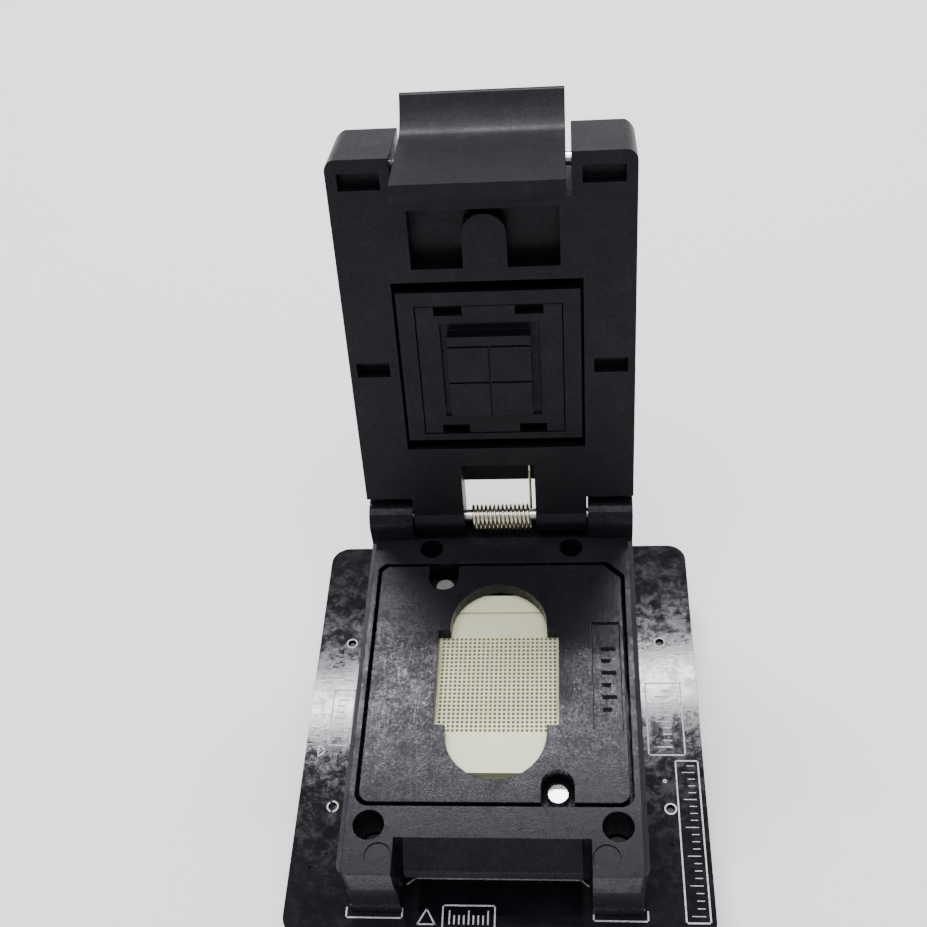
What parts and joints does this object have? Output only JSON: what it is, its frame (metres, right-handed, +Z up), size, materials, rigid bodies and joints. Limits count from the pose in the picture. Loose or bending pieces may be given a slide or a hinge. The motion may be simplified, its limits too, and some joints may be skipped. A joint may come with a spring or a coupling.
{
  "type": "clamshell chip test socket on an adapter board",
  "caption": "Clamshell test socket for ball-grid memory chips on a black adapter board, its spring-loaded lid standing open.",
  "frame": {"origin": "under the centre of the contact grid, on the plane of the two board connectors' lower faces", "axes": "+X to the right, +Y towards the hinge, +Z up"},
  "size_m": [0.0448, 0.0652, 0.0653],
  "materials": {
    "body_plastic": "fine satin texture",
    "lid_plastic": "fine satin texture",
    "board_laminate": "glossy black coating with white print",
    "contact_plastic": "satin beige",
    "connector_plastic": "satin",
    "steel": "bright",
    "black_steel": "black oxide",
    "spring_wire": "bright, pale gold"
  },
  "bodies": {
    "base": {"board_connector_left": "connector_plastic", "board_connector_right": "connector_plastic", "body_screw_front_left": "black_steel", "body_screw_front_right": "black_steel", "body_screw_rear_left": "black_steel", "body_screw_rear_right": "black_steel", "circuit_board": "board_laminate", "frame_screw_front_right": "steel", "frame_screw_rear_left": "steel", "hinge_pin": "steel", "nut_front_left": "steel", "nut_front_right": "steel", "nut_rear_left": "steel", "nut_rear_right": "steel", "package_frame": "body_plastic", "plate_spring_front_left": "steel", "plate_spring_front_right": "steel", "plate_spring_rear_left": "steel", "plate_spring_rear_right": "steel", "probe_block": "contact_plastic", "socket_body": "body_plastic", "torsion_spring": "spring_wire"},
    "plate": {"contact_plate": "contact_plastic"},
    "lid": {"latch_pin": "steel", "latch_spring_left": "steel", "latch_spring_right": "steel", "lid_shell": "lid_plastic", "platen_spring_front_left": "steel", "platen_spring_front_right": "steel", "platen_spring_rear_left": "steel", "platen_spring_rear_right": "steel"},
    "platen": {"platen_frame": "lid_plastic", "platen_screw_front_left": "steel", "platen_screw_front_right": "steel", "platen_screw_rear_left": "steel", "platen_screw_rear_right": "steel", "pusher": "lid_plastic"},
    "latch": {"latch": "lid_plastic"}
  },
  "joints": [
    {"name": "lid_hinge", "type": "hinge", "parent": "base", "child": "lid", "pos_m": [0, 0.0208, 0.0201], "axis": [1, 0, 0], "range_deg": [0, 104.5], "stiffness_Nm_per_rad": 0.012, "springref_deg": -28.65, "deforming": ["torsion_spring"]},
    {"name": "latch_pivot", "type": "hinge", "parent": "lid", "child": "latch", "pos_m": [0, 0.03468, 0.0602], "axis": [1, 0, 0], "range_deg": [-8, 4.5], "stiffness_Nm_per_rad": 0.02, "springref_deg": 1.15, "deforming": ["latch_spring_left", "latch_spring_right"]},
    {"name": "platen_slide", "type": "slide", "parent": "lid", "child": "platen", "axis": [0, 0.9681, -0.2504], "range_m": [0, 0.0008], "stiffness_N_per_m": 3000, "springref_m": -0.0005, "deforming": ["platen_spring_front_left", "platen_spring_front_right", "platen_spring_rear_left", "platen_spring_rear_right"]},
    {"name": "plate_slide", "type": "slide", "parent": "base", "child": "plate", "axis": [0, 0, 1], "range_m": [-0.0004, 0], "stiffness_N_per_m": 2000, "springref_m": 0.0003, "deforming": ["plate_spring_front_left", "plate_spring_front_right", "plate_spring_rear_left", "plate_spring_rear_right"]}
  ]
}
